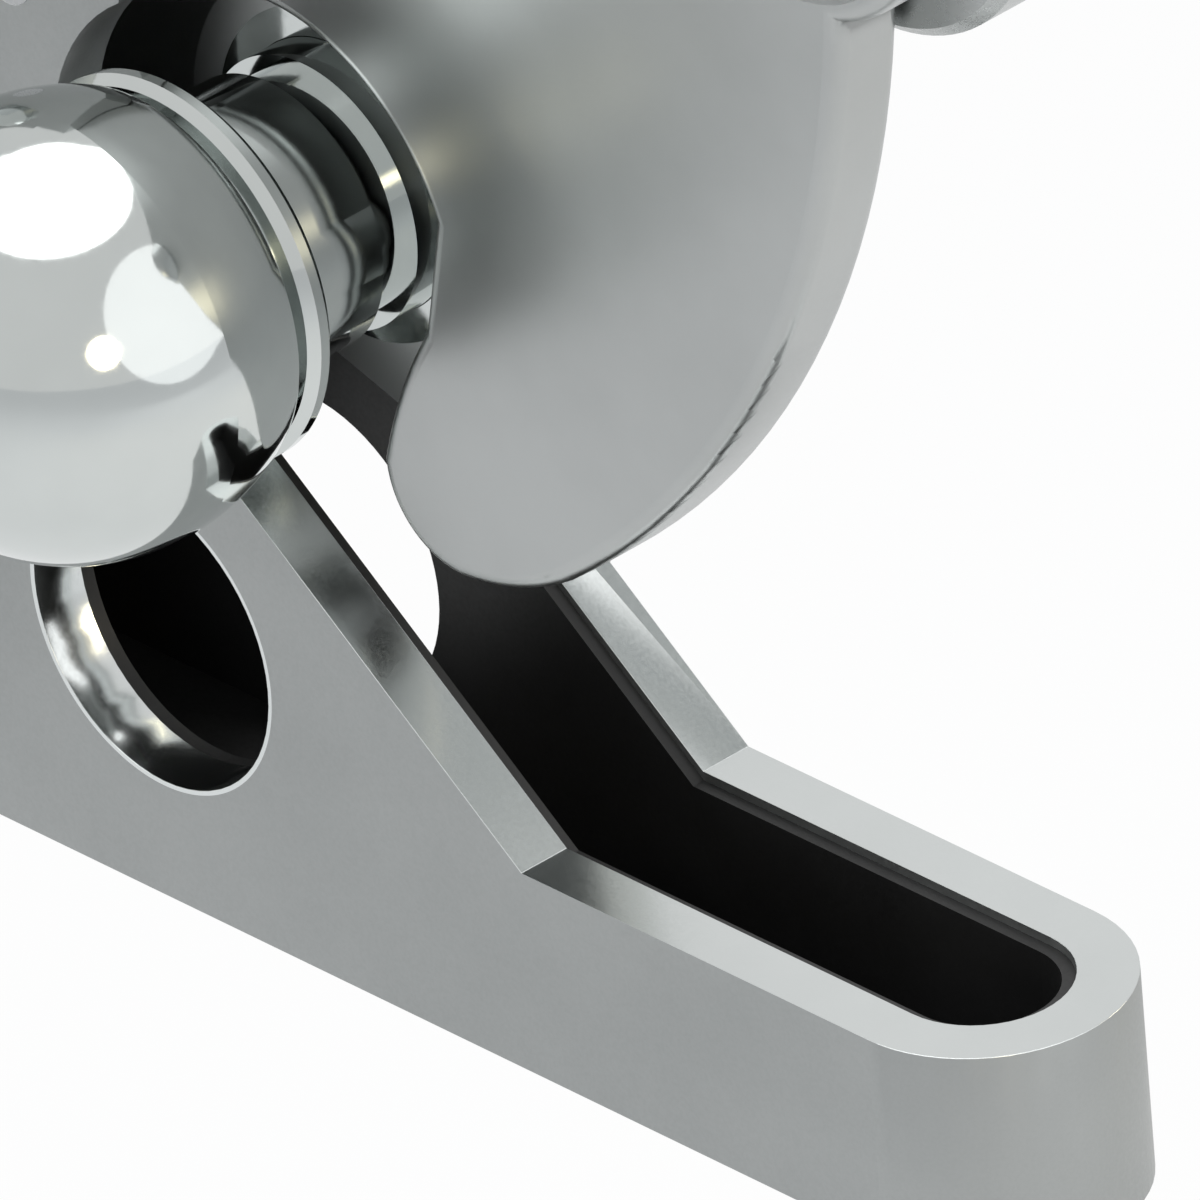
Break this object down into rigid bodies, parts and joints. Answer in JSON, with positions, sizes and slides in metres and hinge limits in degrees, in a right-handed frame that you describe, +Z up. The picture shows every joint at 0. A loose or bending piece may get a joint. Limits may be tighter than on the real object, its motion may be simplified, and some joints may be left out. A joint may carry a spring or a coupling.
{
  "type": "gate latch",
  "caption": "Post mounted gate latch: a hinged arm closes over the gate's tongue in a channel with a round nose, and a push-in ball knob locks the arm.",
  "frame": {"origin": "centre of the post plate's back face", "axes": "+X away from the post along the channel, +Z up, +Y from the ball knob to the grip"},
  "size_m": [0.1551, 0.1486, 0.1463],
  "materials": {
    "satin_cast": "satin blasted stainless casting",
    "satin_arm": "smooth satin stainless casting",
    "satin_grip": "satin stainless tube",
    "plate_steel": "brushed stainless plate",
    "polished_steel": "mirror polished stainless",
    "screw_steel": "turned stainless",
    "black_liner": "black nylon",
    "bronze": "plain bearing bronze"
  },
  "bodies": {
    "base": {"channel_body": "satin_cast", "channel_liner": "black_liner", "mount_plate": "plate_steel", "plate_screws": "screw_steel", "lock_plate": "plate_steel", "lock_plate_screws": "screw_steel", "hinge_pin": "polished_steel", "hinge_washer": "screw_steel", "hinge_nut": "polished_steel", "stop_pin": "screw_steel"},
    "arm": {"latch_arm": "satin_arm", "hinge_bush": "bronze", "bolt_guide": "polished_steel", "friction_screw": "screw_steel", "grip_washer": "screw_steel", "grip_core": "screw_steel", "grip_sleeve": "satin_grip", "grip_end_cap": "satin_grip", "grip_screw": "satin_arm"},
    "bolt": {"lock_bolt": "polished_steel", "ball_knob": "polished_steel"}
  },
  "joints": [
    {"name": "arm_lift", "type": "hinge", "parent": "base", "child": "arm", "pos_m": [0.038, 0, 0.039], "axis": [0, -1, 0], "range_deg": [0, 40]},
    {"name": "knob_push", "type": "slide", "parent": "arm", "child": "bolt", "axis": [0, 1, 0], "range_m": [0, 0.008]}
  ]
}
